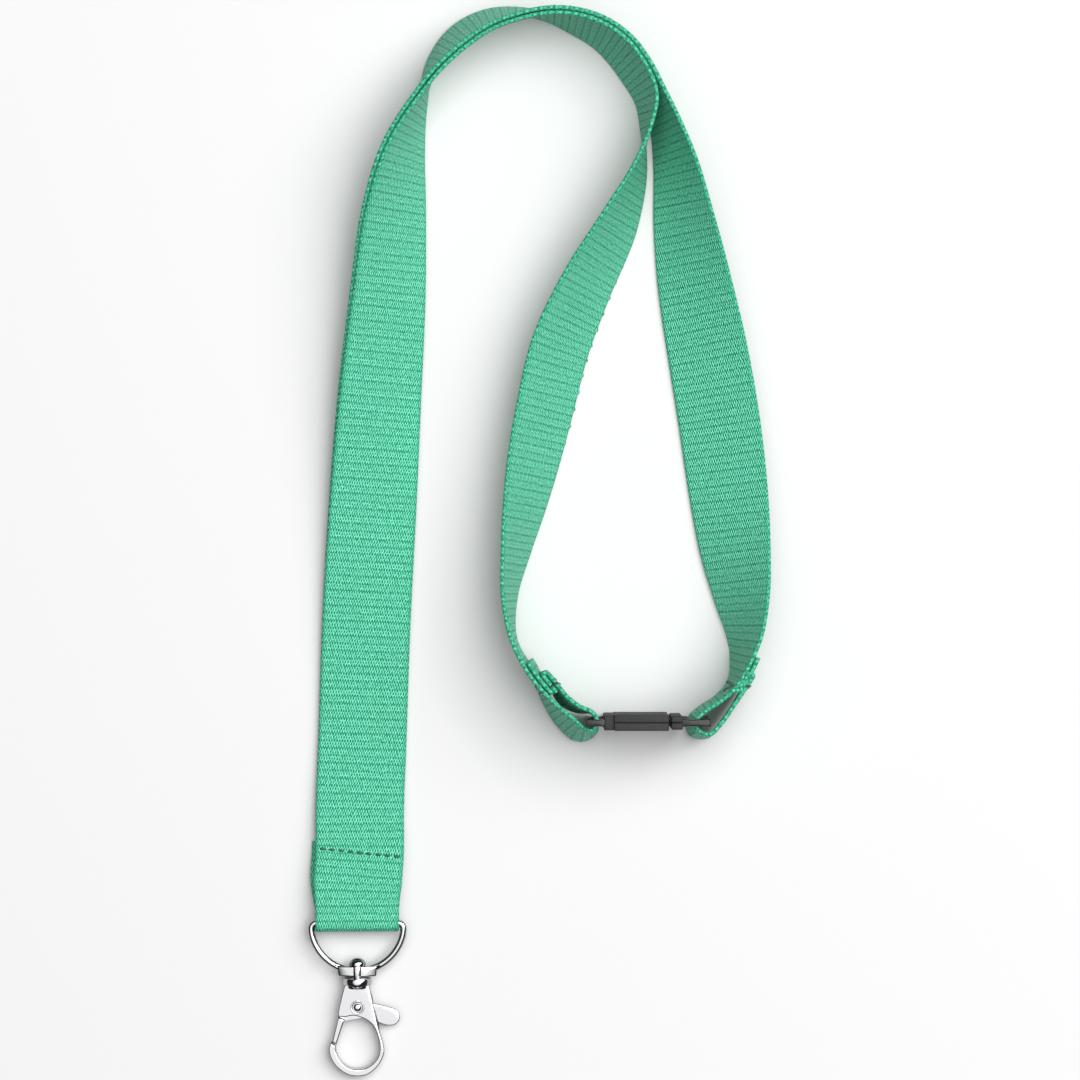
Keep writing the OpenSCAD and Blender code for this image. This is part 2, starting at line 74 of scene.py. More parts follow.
# %% Camera straight above
VIEW_HEIGHT = 1.4
VIEW_WIDTH = 0.24545
VIEW_CENTRE = (0.0004, 0.00125)
SENSOR = 36.0
camera_data = bpy.data.cameras.new("camera")
camera_data.sensor_width = SENSOR
camera_data.lens = SENSOR * VIEW_HEIGHT / VIEW_WIDTH
camera = bpy.data.objects.new("camera", camera_data)
camera.location = (*VIEW_CENTRE, VIEW_HEIGHT)
bpy.context.scene.collection.objects.link(camera)
bpy.context.scene.camera = camera
print("lens", round(camera_data.lens, 1), "mm")

# %% [markdown]
# ## Node and mesh helpers
# `add` puts one shader node in a material with its settings and its links. `hex_colour` turns an sRGB hex
# colour into the linear values that shaders use. `piece` turns a bmesh into a finished object whose place
# is in its mesh, which rides on a body of the frame.

# %% Helpers for materials
def hex_colour(text):
    """Linear RGBA of an sRGB hex colour."""
    parts = [int(text[i:i + 2], 16) / 255 for i in (1, 3, 5)]
    return [p / 12.92 if p <= 0.04045 else ((p + 0.055) / 1.055) ** 2.4 for p in parts] + [1.0]


def add(tree, kind, settings=None, links=None):
    """Adds a node. settings sets its properties or input values, links joins an output to an input."""
    made = tree.nodes.new(kind)
    for key, value in (settings or {}).items():
        if isinstance(key, str) and hasattr(made, key):
            setattr(made, key, value)
        else:
            made.inputs[key].default_value = value
    for key, output in (links or {}).items():
        tree.links.new(output, made.inputs[key])
    return made


def new_material(name):
    """An empty material with its shader and output joined."""
    print("material", name)
    material = bpy.data.materials.new(name)
    material.use_nodes = True
    tree = material.node_tree
    tree.nodes.clear()
    shader = tree.nodes.new("ShaderNodeBsdfPrincipled")
    output = tree.nodes.new("ShaderNodeOutputMaterial")
    tree.links.new(shader.outputs["BSDF"], output.inputs["Surface"])
    return material, tree, shader


# %% Helpers for meshes
def piece(bm, name, body, material, sharp=40, replaces=()):
    """A finished object from a bmesh already in its place: normals out, smooth up to the sharp angle."""
    bmesh.ops.recalc_face_normals(bm, faces=bm.faces)
    mesh = bpy.data.meshes.new(name)
    bm.to_mesh(mesh)
    bm.free()
    mesh.polygons.foreach_set("use_smooth", [True] * len(mesh.polygons))
    mesh.set_sharp_from_angle(angle=math.radians(sharp))
    mesh.materials.append(material)
    made = bpy.data.objects.new(name, mesh)
    bpy.context.scene.collection.objects.link(made)
    if body:
        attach(made, body)
    if replaces:
        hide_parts(*replaces)
    print(name, len(mesh.polygons), "faces")
    return made


def paint(node_name, material, sharp=30):
    """Gives a CAD node that stays its material and smooth shading."""
    obj = frame["nodes"][node_name]
    obj.data.materials.clear()
    obj.data.materials.append(material)
    obj.data.polygons.foreach_set("use_smooth", [True] * len(obj.data.polygons))
    obj.data.set_sharp_from_angle(angle=math.radians(sharp))


# %% [markdown]
# ## Webbing material
# Lanyard webbing is woven polyester. Thick weft ribs cross it every 1.7 mm, and the warp yarns run over
# them in a twill, so each rib shows slanted strokes about half a millimetre apart with a dark dot of
# painted shade between them. The tone follows the weave's height throughout, so its hollows carry painted
# shade and its raised yarns painted highlight. The woven edge is smoother. The pattern follows the
# webbing's own UV map, which holds the length and the width in metres, so that a rib stays straight
# across a bend.

# %% Ribbed polyester webbing
STRAP_W = 20.0
RIB_PITCH = 1.7
# Waves of the weave: period in mm, turn from the length in degrees, waver and share
WEAVE_WAVES = (
    (RIB_PITCH, 0, 1.0, 0.24),
    (RIB_PITCH / 2, 0, 1.0, 0.2),
    (0.52, 62, 2.2, 0.65),
    (0.56, 108, 2.2, 0.6),
)
FUZZ_SCALE = 1700.0
FUZZ_SHARE = 1.3
# The pattern fades between these distances from the edge in mm, down to a share of its swing
EDGE_OUTER, EDGE_INNER = 0.4, 1.1
EDGE_SWING = 0.4
EDGE_TONE = 0.28
WEAVE_MEAN = sum(wave[3] for wave in WEAVE_WAVES) / 2 + FUZZ_SHARE / 2
# The light and dark greens are painted highlight on the raised yarns and painted shade in the weave's
# hollows; the mid green is the webbing's own colour.
GREEN_YARN_HIGHLIGHT = "#70D3B3"
GREEN_MID = "#43AC8B"
GREEN_HOLLOW_SHADE = "#0F7752"


def webbing_material(name, light, mid, dark, contrast):
    """Woven polyester: ribs, slanted yarns and slight unevenness in colour, gloss and height; the colour
    carries painted shade in the weave's hollows and painted highlight on its raised yarns.
    """
    material, tree, shader = new_material(name)
    uv = add(tree, "ShaderNodeUVMap", {"uv_map": "cut"})
    # Fine fuzz of the yarns, then the waves of the weave added to it
    fuzz = add(tree, "ShaderNodeTexNoise", {"Scale": FUZZ_SCALE, "Detail": 3.0}, {"Vector": uv.outputs[0]})
    weave = add(tree, "ShaderNodeMath", {"operation": "MULTIPLY", 1: FUZZ_SHARE}, {0: fuzz.outputs[0]})
    for period, turn, waver, share in WEAVE_WAVES:
        turned = add(tree, "ShaderNodeMapping", {"Rotation": (0, 0, -math.radians(turn))},
                     {"Vector": uv.outputs[0]})
        wave = add(tree, "ShaderNodeTexWave",
                   {"Scale": math.pi / 10 / (period * MM), "Distortion": waver, "Detail": 1.0},
                   {"Vector": turned.outputs[0]})
        weave = add(tree, "ShaderNodeMath", {"operation": "MULTIPLY_ADD", 1: share},
                    {0: wave.outputs["Fac"], 2: weave.outputs[0]})
    # The woven edges are smoother, with an even tone
    split = add(tree, "ShaderNodeSeparateXYZ", links={0: uv.outputs[0]})
    from_middle = add(tree, "ShaderNodeMath", {"operation": "ABSOLUTE"}, {0: split.outputs[1]})
    inside = add(tree, "ShaderNodeMapRange",
                 {"From Min": (STRAP_W / 2 - EDGE_OUTER) * MM,
                  "From Max": (STRAP_W / 2 - EDGE_INNER) * MM,
                  "To Min": EDGE_SWING},
                 {"Value": from_middle.outputs[0]})
    base = add(tree, "ShaderNodeMapRange", {"From Min": EDGE_SWING, "To Min": EDGE_TONE, "To Max": 0.5},
               {"Value": inside.outputs[0]})
    # Painted shade and highlight: the colour's tone follows the weave's height, darker in its hollows and
    # lighter on its raised yarns.
    swing = add(tree, "ShaderNodeMath", {"operation": "SUBTRACT", 1: WEAVE_MEAN}, {0: weave.outputs[0]})
    height = add(tree, "ShaderNodeMath", {"operation": "MULTIPLY"},
                 {0: swing.outputs[0], 1: inside.outputs[0]})
    tone = add(tree, "ShaderNodeMath", {"operation": "MULTIPLY_ADD", 1: contrast},
               {0: height.outputs[0], 2: base.outputs[0]})
    ramp = add(tree, "ShaderNodeValToRGB", links={0: tone.outputs[0]})
    ramp.color_ramp.elements[0].position = 0.05
    ramp.color_ramp.elements[0].color = hex_colour(dark)
    ramp.color_ramp.elements[1].position = 0.95
    ramp.color_ramp.elements[1].color = hex_colour(light)
    middle = ramp.color_ramp.elements.new(0.5)
    middle.color = hex_colour(mid)
    bump = add(tree, "ShaderNodeBump", {"Strength": 0.8, "Distance": 0.2 * MM},
               {"Height": height.outputs[0]})
    rough = add(tree, "ShaderNodeMapRange",
                {"From Min": -0.5, "From Max": 0.5, "To Min": 0.75, "To Max": 0.5},
                {"Value": height.outputs[0]})
    tree.links.new(ramp.outputs[0], shader.inputs["Base Color"])
    tree.links.new(bump.outputs[0], shader.inputs["Normal"])
    tree.links.new(rough.outputs[0], shader.inputs["Roughness"])
    shader.inputs["Specular IOR Level"].default_value = 0.3
    shader.inputs["Sheen Weight"].default_value = 0.04
    shader.inputs["Sheen Roughness"].default_value = 0.4
    return material


webbing = webbing_material("ribbed_webbing_painted_shade", GREEN_YARN_HIGHLIGHT, GREEN_MID, GREEN_HOLLOW_SHADE, 1.5)

# %% [markdown]
# ## Route of the webbing
# The two layers run together from the D-ring over the arch and then part. Each route is a short list of
# stations: place, lean from flat and share of the lift at its end. The same stations shape the plain
# strips in the frame. A smooth line through them carries a frame of three directions: along, across the
# webbing, and out of its face.

# %% Stations in millimetres and degrees
STRAP_T, LAYER_GAP = 1.0, 0.2
LAYER_OFF = (STRAP_T + LAYER_GAP) / 2
TAIL_OFF = LAYER_GAP / 2 + STRAP_T + LAYER_GAP + STRAP_T / 2
STACK_T = 2 * STRAP_T + LAYER_GAP
BAR_R, RING_PLAY, FOLD_PINCH, TAIL_LEN, HEM_LEN = 0.8, 0.2, 1.1, 19.0, 5.5
WRAP_R = BAR_R + RING_PLAY + STRAP_T / 2
BUCKLE_LIFT = 2.2
# The tail drifts sideways by its skew, from a start beyond the bar and over a distance
TAIL_SKEW, SKEW_START, SKEW_OVER = 0.9, 2, 8
BAR = np.array(JOINT["ring_hinge"]["pos_m"]) / MM
FOLD_LIFT = BAR[2] + WRAP_R - LAYER_OFF - STACK_T / 2
BOTH_ROUTE = [
    [BAR[0], BAR[1] + 2, 0, 0.94], [-41, -78, 0, 0.75], [-40.5, -70, 0, 0.5],
    [-40.5, -60, 0, 0.2], [-40, -46, 0, 0], [-39, -17, 3, 0], [-37.5, 10, 12, 0],
    [-36, 33, 24, 0], [-34, 57, 37, 0], [-32.5, 76, 50, 0], [-30.5, 89, 66, 0],
    [-27, 100, 85, 0], [-22.5, 109.5, 101, 0], [-17.5, 115, 106, 0],
    [-11.5, 118.5, 104, 0], [-4.5, 120, 98, 0], [2, 120, 90, 0],
    [8, 118.5, 82, 0], [14.5, 115.5, 77, 0], [19.5, 111, 74, 0], [22, 107.5, 74, 0]]
INNER_ROUTE = [
    [24.5, 101, 77, 0], [24.5, 95, 84, 0], [23, 85.5, 98, 0], [18.5, 73.5, 114, 0],
    [10.5, 58, 125, 0], [5, 45, 130, 0], [1.5, 31, 129, 0], [-1, 19.5, 125, 0],
    [-3, 9.5, 118, 0], [-5, -1, 108, 0.1], [-6.5, -12, 98, 0.3], [-5.5, -21.5, 92, 0.6],
    [-1.5, -29, 92, 0.9], [2.5, -35.5, 84, 1], [6.5, -40, 79, 1], [10, -42.5, 80, 1],
    [12.5, -41.8, 86, 1], [13.2, -39.8, 90, 1], [12.4, -37.8, 91, 1], [9, -36.8, 95, 1],
    [6, -35, 97, 1], [3.5, -31.5, 95, 1], [1.7, -29, 94, 0.95]]
OUTER_ROUTE = [
    [26.5, 101.2, 77, 0], [29, 94.2, 71.5, 0], [30.8, 87, 63.5, 0], [33, 73, 48, 0],
    [35.5, 58.5, 35, 0], [38.5, 43, 27, 0], [41, 28, 25, 0], [43, 12.5, 29, 0],
    [44.5, -0.5, 39, 0.1], [46, -12, 54, 0.2], [46.5, -20, 68, 0.4], [45.7, -26, 79, 0.7],
    [43.7, -31.5, 86, 0.95], [40.5, -34.7, 88, 1], [37, -37, 88, 1], [34.8, -39.3, 87, 1],
    [35.2, -42, 84, 1], [38.3, -42.8, 87, 1], [41.2, -40, 88, 1], [44, -36, 88, 1],
    [46.2, -32.5, 89, 1], [48, -29.5, 90, 1]]


# %% Smooth lines and frames along them
def smooth_rows(stations, step, first=0):
    """A smooth line through the stations, with a row about every step millimetres."""
    rows = np.array(stations, float)
    gaps = np.linalg.norm(np.diff(rows[:, :2], axis=0), axis=1)
    slopes = np.diff(rows, axis=0) / gaps[:, None]
    weighed = slopes[:-1] * gaps[1:, None] + slopes[1:] * gaps[:-1, None]
    tangents = np.vstack([slopes[:1], weighed, slopes[-1:]])
    tangents[1:-1] /= (gaps[:-1] + gaps[1:])[:, None]
    out = []
    for i in range(first, len(rows) - 1):
        t = np.linspace(0, 1, max(3, round(gaps[i] / step)), endpoint=False)[:, None]
        out.append((2 * t**3 - 3 * t**2 + 1) * rows[i] + (t**3 - 2 * t**2 + t) * gaps[i] * tangents[i]
                   + (3 * t**2 - 2 * t**3) * rows[i + 1] + (t**3 - t**2) * gaps[i] * tangents[i + 1])
    return np.vstack(out + [rows[-1:]])


def route_frames(rows, thickness, lift):
    """Centre, across and face normal of each row, with the lower edge resting on the table."""
    lean = np.radians(rows[:, 2])
    z = STRAP_W / 2 * np.abs(np.sin(lean)) + thickness / 2 * np.abs(np.cos(lean)) + rows[:, 3] * lift
    centre = np.column_stack([rows[:, :2], z])
    step = np.gradient(centre[:, :2], axis=0)
    left = np.column_stack([-step[:, 1], step[:, 0], np.zeros(len(rows))])
    left /= np.linalg.norm(left, axis=1)[:, None]
    up = np.array([0, 0, 1.0])
    across = left * np.cos(lean)[:, None] + up * np.sin(lean)[:, None]
    normal = up * np.cos(lean)[:, None] - left * np.sin(lean)[:, None]
    return np.hstack([centre, across, normal])


def shifted(frames, distance):
    """The frames moved along their own face normals."""
    out = frames.copy()
    out[:, :3] += out[:, 6:9] * distance
    return out


def flipped(frames):
    """The frames in the opposite order with the face normal turned round."""
    out = frames[::-1].copy()
    out[:, 6:9] *= -1
    return out


both = route_frames(smooth_rows(BOTH_ROUTE, 1.5), STACK_T, FOLD_LIFT)


def branch(route, offset):
    """One layer on its own, starting in line with the last shared rows."""
    lean = BOTH_ROUTE[-1][2]
    rest = STRAP_W / 2 * math.sin(math.radians(lean)) + STRAP_T / 2 * math.cos(math.radians(lean))
    before, last = shifted(both, offset)[[-7, -1], :3]
    start = [[*before[:2], lean, 0], [*last[:2], lean, (last[2] - rest) / BUCKLE_LIFT]]
    rows = smooth_rows(start + route, 1.5, first=1)
    return route_frames(rows, STRAP_T, BUCKLE_LIFT)[1:]


def folded_end(frames):
    """The hem: the end turned back under itself, towards the strap that it is sewn to."""
    last = frames[-1]
    along = frames[-1, :3] - frames[-2, :3]
    along /= np.linalg.norm(along)
    off = STRAP_T + LAYER_GAP
    pivot = last[:3] - last[6:9] * off / 2
    turn = []
    for angle in np.radians(np.arange(15, 180, 15)):
        out = math.cos(angle) * last[6:9] + math.sin(angle) * along
        turn.append(np.concatenate([pivot + off / 2 * out, last[3:6], out]))
    near = frames[np.linalg.norm(frames[:, :3] - last[:3], axis=1) < HEM_LEN]
    return np.vstack([turn, flipped(shifted(near, -off))])


def bar_fold():
    """The tail behind the leg and the half turn round the D-ring's bar."""
    tail = flipped(shifted(both[both[:, 1] < BAR[1] + TAIL_LEN], -TAIL_OFF))
    tail[:, 0] -= TAIL_SKEW * np.clip((tail[:, 1] - BAR[1] - SKEW_START) / SKEW_OVER, 0, 1)
    turn = []
    for angle in np.radians(np.arange(-90, 91, 10)):
        out = np.array([0, -math.cos(angle), math.sin(angle)])
        turn.append(np.concatenate([BAR + WRAP_R * out, both[0, 3:6], out]))
    return np.vstack([tail, turn])


inner = branch(INNER_ROUTE, LAYER_OFF)
outer = branch(OUTER_ROUTE, -LAYER_OFF)
front_line = np.vstack([bar_fold(), shifted(both, LAYER_OFF), inner, folded_end(inner)])
back_line = np.vstack([shifted(both, -LAYER_OFF), outer, folded_end(outer)])
for name, line in (("front", front_line), ("back", back_line)):
    print(name, "webbing", round(np.linalg.norm(np.diff(line[:, :3], axis=0), axis=1).sum()), "mm long")

# %% [markdown]
# ## Webbing mesh
# The webbing is cut flat as a grid and then laid along its route. The grid goes once round the webbing's
# section, so both faces and both woven edges are one surface. Rows are a fifth of a millimetre apart,
# close enough to raise the ribs and the small beads of the woven edge in the mesh itself.

# %% Lay a length of webbing
ROW_STEP = 0.2
RIB_HEIGHT = 0.035
BEAD_PITCH = 0.64
BEAD_HEIGHT = 0.045
PINCH_START, PINCH_OVER = 3, 6
NUB_PITCH, NUB_HEIGHT = 4, 0.55


def section_points():
    """(across, out, edge) round the webbing's section, from one edge's middle and back to it."""
    flat = STRAP_W / 2 - STRAP_T / 2
    turn = [(-flat - STRAP_T / 2 * math.cos(a), STRAP_T / 2 * math.sin(a), math.cos(a))
            for a in np.radians([0, 30, 60, 90])]
    columns = [(v, STRAP_T / 2, 0.0)
               for v in (-9.1, -8.3, -7, -5.2, -3.2, -1.1, 1.1, 3.2, 5.2, 7, 8.3, 9.1)]
    top = turn + columns + [(-v, n, e) for v, n, e in reversed(turn)]
    return np.array(top + [(v, -n, e) for v, n, e in reversed(top)][1:])


def lay_webbing(name, line, body, nubs=None):
    """Webbing laid along a line of frames, with ribs, woven edges and closed ends."""
    distance = np.concatenate([[0], np.cumsum(np.linalg.norm(np.diff(line[:, :3], axis=0), axis=1))])
    length = distance[-1]
    rows = round(length / ROW_STEP)
    section = section_points()
    bm = bmesh.new()
    bmesh.ops.create_grid(bm, x_segments=rows, y_segments=len(section) - 1, size=0.5)
    mesh = bpy.data.meshes.new(name)
    bm.to_mesh(mesh)
    bm.free()
    co = np.empty(len(mesh.vertices) * 3)
    mesh.vertices.foreach_get("co", co)
    co = co.reshape(-1, 3)
    at = (co[:, 0] + 0.5) * length
    around = np.rint((co[:, 1] + 0.5) * (len(section) - 1)).astype(int)
    side, out, edge = section[around].T
    frames = np.column_stack([np.interp(at, distance, line[:, k]) for k in range(9)])
    for k in (3, 6):
        frames[:, k:k + 3] /= np.linalg.norm(frames[:, k:k + 3], axis=1)[:, None]
    # Ribs on the faces, beads on the woven edges
    inside = np.clip((STRAP_W / 2 - 1 - np.abs(side)) / 1.2, 0, 1)
    rib = RIB_HEIGHT * np.cos(2 * math.pi * at / RIB_PITCH) * inside * np.sign(out)
    bead_wave = np.cos(2 * math.pi * at / BEAD_PITCH + np.sign(side))
    bead = BEAD_HEIGHT * bead_wave * np.abs(edge) * np.sign(side)
    # The webbing is pinched a little where it wraps the D-ring
    near_bar = np.clip(1 - (frames[:, 1] - BAR[1] - PINCH_START) / PINCH_OVER, 0, 1)
    near_bar = near_bar * (frames[:, 0] < BAR[0] + STRAP_W)
    width = 1 - FOLD_PINCH / STRAP_W * near_bar
    if nubs is not None:
        bead = bead + nubs(at, side, frames)
    laid = (frames[:, :3] + frames[:, 3:6] * (side * width + bead)[:, None]
            + frames[:, 6:9] * (out + rib)[:, None])
    mesh.vertices.foreach_set("co", (laid * MM).ravel())
    uv_map = mesh.uv_layers.new(name="cut")
    corner = np.empty(len(mesh.loops), int)
    mesh.loops.foreach_get("vertex_index", corner)
    flat = np.column_stack([at, side])[corner] * MM
    uv_map.data.foreach_set("uv", flat.ravel())
    bm = bmesh.new()
    bm.from_mesh(mesh)
    bpy.data.meshes.remove(mesh)
    bmesh.ops.remove_doubles(bm, verts=bm.verts, dist=0.002 * MM)
    ends = [e for e in bm.edges if e.is_boundary]
    bmesh.ops.holes_fill(bm, edges=ends)
    made = piece(bm, name, body, webbing, sharp=60)
    return made, length * MM


def edge_nubs(at, side, frames):
    """Small nubs on the inner strap's lower edge, where its weft thread is knotted."""
    window = np.clip((frames[:, 1] - 22) / 6, 0, 1) * np.clip((68 - frames[:, 1]) / 8, 0, 1)
    window = window * (frames[:, 0] > -4) * (side < 1 - STRAP_W / 2)
    return -NUB_HEIGHT * window * np.clip(np.cos(2 * math.pi * at / NUB_PITCH), 0, 1) ** 6


front, front_length = lay_webbing("front_webbing", front_line, "strap", edge_nubs)
back, back_length = lay_webbing("back_webbing", back_line, None)
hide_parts("strap_front")
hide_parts("strap_back", "strap_back_end")
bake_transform(back)

# %% [markdown]
# ## Nickel-plated zinc
# The hook is cast zinc, tumbled and plated with bright nickel. Plating gives a clear mirror with a very
# faint unevenness from the casting and a trace of handling marks in its gloss.

# %% Bright nickel plate
def nickel_material():
    """Bright nickel plate: a mirror with fine waviness and a trace of handling marks."""
    material, tree, shader = new_material("bright_nickel_plate")
    place = add(tree, "ShaderNodeTexCoord")
    wave = add(tree, "ShaderNodeTexNoise", {"Scale": 420.0, "Detail": 2.0},
               {"Vector": place.outputs["Object"]})
    marks = add(tree, "ShaderNodeTexNoise", {"Scale": 1500.0, "Detail": 4.0},
                {"Vector": place.outputs["Object"]})
    rough = add(tree, "ShaderNodeMapRange",
                {"From Min": 0.35, "From Max": 0.75, "To Min": 0.04, "To Max": 0.12},
                {"Value": marks.outputs[0]})
    bump = add(tree, "ShaderNodeBump", {"Strength": 0.12, "Distance": 0.15 * MM},
               {"Height": wave.outputs[0]})
    tree.links.new(rough.outputs[0], shader.inputs["Roughness"])
    tree.links.new(bump.outputs[0], shader.inputs["Normal"])
    shader.inputs["Base Color"].default_value = hex_colour("#AEAEB0")
    shader.inputs["Metallic"].default_value = 1.0
    return material


nickel = nickel_material()

# %% [markdown]
# ## Moulded acetal
# Both buckle halves are injection-moulded black acetal. The broad faces carry the fine spark texture of
# the mould, and the thin arms and bars are left glossy.

# %% Black acetal, textured and glossy
def acetal_material(name, colour, grain_depth, rough_low, rough_high):
    """Black acetal with a mould texture about a fifth of a millimetre coarse."""
    material, tree, shader = new_material(name)
    place = add(tree, "ShaderNodeTexCoord")
    grain = add(tree, "ShaderNodeTexNoise", {"Scale": 3500.0, "Detail": 2.0},
                {"Vector": place.outputs["Object"]})
    patch = add(tree, "ShaderNodeTexNoise", {"Scale": 300.0, "Detail": 2.0},
                {"Vector": place.outputs["Object"]})
    rough = add(tree, "ShaderNodeMapRange", {"To Min": rough_low, "To Max": rough_high},
                {"Value": patch.outputs[0]})
    shade = add(tree, "ShaderNodeMix", {"data_type": "RGBA"}, {"Factor": grain.outputs[0]})
    shade.inputs[6].default_value = hex_colour(colour[0])
    shade.inputs[7].default_value = hex_colour(colour[1])
    bump = add(tree, "ShaderNodeBump", {"Strength": grain_depth, "Distance": 0.1 * MM},
               {"Height": grain.outputs[0]})
    tree.links.new(shade.outputs[2], shader.inputs["Base Color"])
    tree.links.new(rough.outputs[0], shader.inputs["Roughness"])
    tree.links.new(bump.outputs[0], shader.inputs["Normal"])
    shader.inputs["IOR"].default_value = 1.48
    shader.inputs["Specular IOR Level"].default_value = 0.25
    return material


textured_acetal = acetal_material("spark_textured_acetal", ("#121212", "#3A3A3A"), 0.8, 0.55, 0.7)
glossy_acetal = acetal_material("glossy_acetal", ("#0B0B0B", "#141414"), 0.1, 0.2, 0.3)

# %% [markdown]
# ## Frame of the hook
# The hook lies nose-down on the table, so its pieces are modelled flat in a frame of their own and then
# laid in place by one matrix. Its origin is the D-ring's bar, its -Y axis points to the claw's tip. The
# frame's joints give both.

# %% Matrix of the hook and outline helpers
HOOK_Y = -Vector(JOINT["claw_swivel"]["axis"]).normalized()
HOOK_X = Vector((1, 0, 0))
HOOK_Z = HOOK_X.cross(HOOK_Y)
HOOK = Matrix.Translation(Vector(BAR) * MM) @ Matrix((HOOK_X, HOOK_Y, HOOK_Z)).transposed().to_4x4()
HOOK_MM = HOOK @ Matrix.Scale(MM, 4)


def smooth_run(points, step=0.35):
    """Points along a smooth open line through the given ones."""
    rows = smooth_rows([[x, y, 0, 0] for x, y in points], step)
    return [(float(x), float(y)) for x, y in rows[:, :2]]


def plate(bm, outline, low, high):
    """A flat plate of that outline between two heights. Returns its vertices."""
    bottom = [bm.verts.new((x, y, low)) for x, y in outline]
    face = bm.faces.new(bottom)
    grown = bmesh.ops.extrude_face_region(bm, geom=[face])
    top = [v for v in grown["geom"] if isinstance(v, bmesh.types.BMVert)]
    bmesh.ops.translate(bm, verts=top, vec=(0, 0, high - low))
    return bottom + top


def round_rims(bm, verts, radius, segments=4):
    """Rounds the upper and lower rims of a plate."""
    inside = set(verts)
    rims = [e for e in bm.edges if set(e.verts) <= inside
            and abs(e.verts[0].co.z - e.verts[1].co.z) < 1e-6
            and len({round(f.normal.z) for f in e.link_faces}) == 2]
    bmesh.ops.bevel(bm, geom=rims, offset=radius, offset_type="OFFSET", affect="EDGES",
                    segments=segments, profile=0.5, material=-1, clamp_overlap=True)


TURN_STEPS = 64


def lathe(bm, profile):
    """A solid turned about Z from (radius, height) points that start and end on the axis."""
    line = [bm.verts.new((r, 0, z)) for r, z in profile]
    edges = [bm.edges.new(pair) for pair in zip(line, line[1:])]
    bmesh.ops.spin(bm, geom=line + edges, axis=(0, 0, 1), cent=(0, 0, 0), steps=TURN_STEPS,
                   angle=2 * math.pi, use_merge=True)
    bmesh.ops.remove_doubles(bm, verts=bm.verts, dist=1e-4)


def block(bm, low, high, bevel, segments=3):
    """A box between two corners with rounded edges, in millimetres."""
    size = Vector(high) - Vector(low)
    middle = (Vector(high) + Vector(low)) / 2
    made = bmesh.ops.create_cube(bm, size=1,
                                 matrix=Matrix.Translation(middle) @ Matrix.Diagonal((*size, 1)))
    edges = list({e for v in made["verts"] for e in v.link_edges})
    bmesh.ops.bevel(bm, geom=edges, offset=bevel, offset_type="OFFSET", affect="EDGES", segments=segments,
                    profile=0.5, material=-1)


def joined_mesh(bm, other):
    """Adds a second bmesh to the first and frees it."""
    data = bpy.data.meshes.new("joined")
    other.to_mesh(data)
    other.free()
    bm.from_mesh(data)
    bpy.data.meshes.remove(data)


def cut_slot(bm, low, high):
    """The bmesh with a box-shaped slot taken out of it."""
    tool = bmesh.new()
    block(tool, low, high, 0.08, segments=1)
    shapes = []
    for shape in (bm, tool):
        data = bpy.data.meshes.new("slot")
        shape.to_mesh(data)
        shape.free()
        made = bpy.data.objects.new("slot", data)
        bpy.context.scene.collection.objects.link(made)
        shapes.append(made)
    solid, cutter = shapes
    cut = solid.modifiers.new("slot", "BOOLEAN")
    cut.operation = "DIFFERENCE"
    cut.solver = "EXACT"
    cut.object = cutter
    result = bpy.data.meshes.new_from_object(solid.evaluated_get(bpy.context.evaluated_depsgraph_get()))
    out = bmesh.new()
    out.from_mesh(result)
    for obj in shapes:
        bpy.data.meshes.remove(obj.data)
    bpy.data.meshes.remove(result)
    return out


def dome(radius, height, base, steps=6):
    """Profile points of a dome above a base height, from its rim to its top."""
    turn = [math.radians(90 * i / steps) for i in range(steps + 1)]
    return [(radius * math.cos(a), base + height * math.sin(a)) for a in turn]


def turned_piece(name, profile, body, material, matrix, replaces=()):
    """A turned piece laid in place by a matrix."""
    bm = bmesh.new()
    lathe(bm, profile)
    bmesh.ops.transform(bm, matrix=matrix, verts=bm.verts)
    return piece(bm, name, body, material, sharp=35, replaces=replaces)


ALONG_HOOK = HOOK_MM @ Matrix.Rotation(math.radians(90), 4, "X")

# %% [markdown]
# ## D-ring
# The D is a die casting: a round wire whose lower middle thickens into a bar-shaped boss with a short
# barrel for the swivel. The wire is a circle extruded along the outline by spins, one for each arc of the D.

# %% D-ring
WIRE_R = 0.8
RING_HALF = 10.45
RING_CORNER = 1.3
RING_SIDE_R = 7.0
BOSS_TOP, BOSS_LOW = 9.8, 12.1
BOSS_HALF, BOSS_Z = 4.5, 1.25
# The boss's thickness is scaled by a swell in the middle that falls towards its ends
BOSS_SWELL, BOSS_FALL = 1.4, 0.95
BARREL_R = 1.75
# The wire runs round to this angle, inside the boss
WIRE_END = math.radians(84)


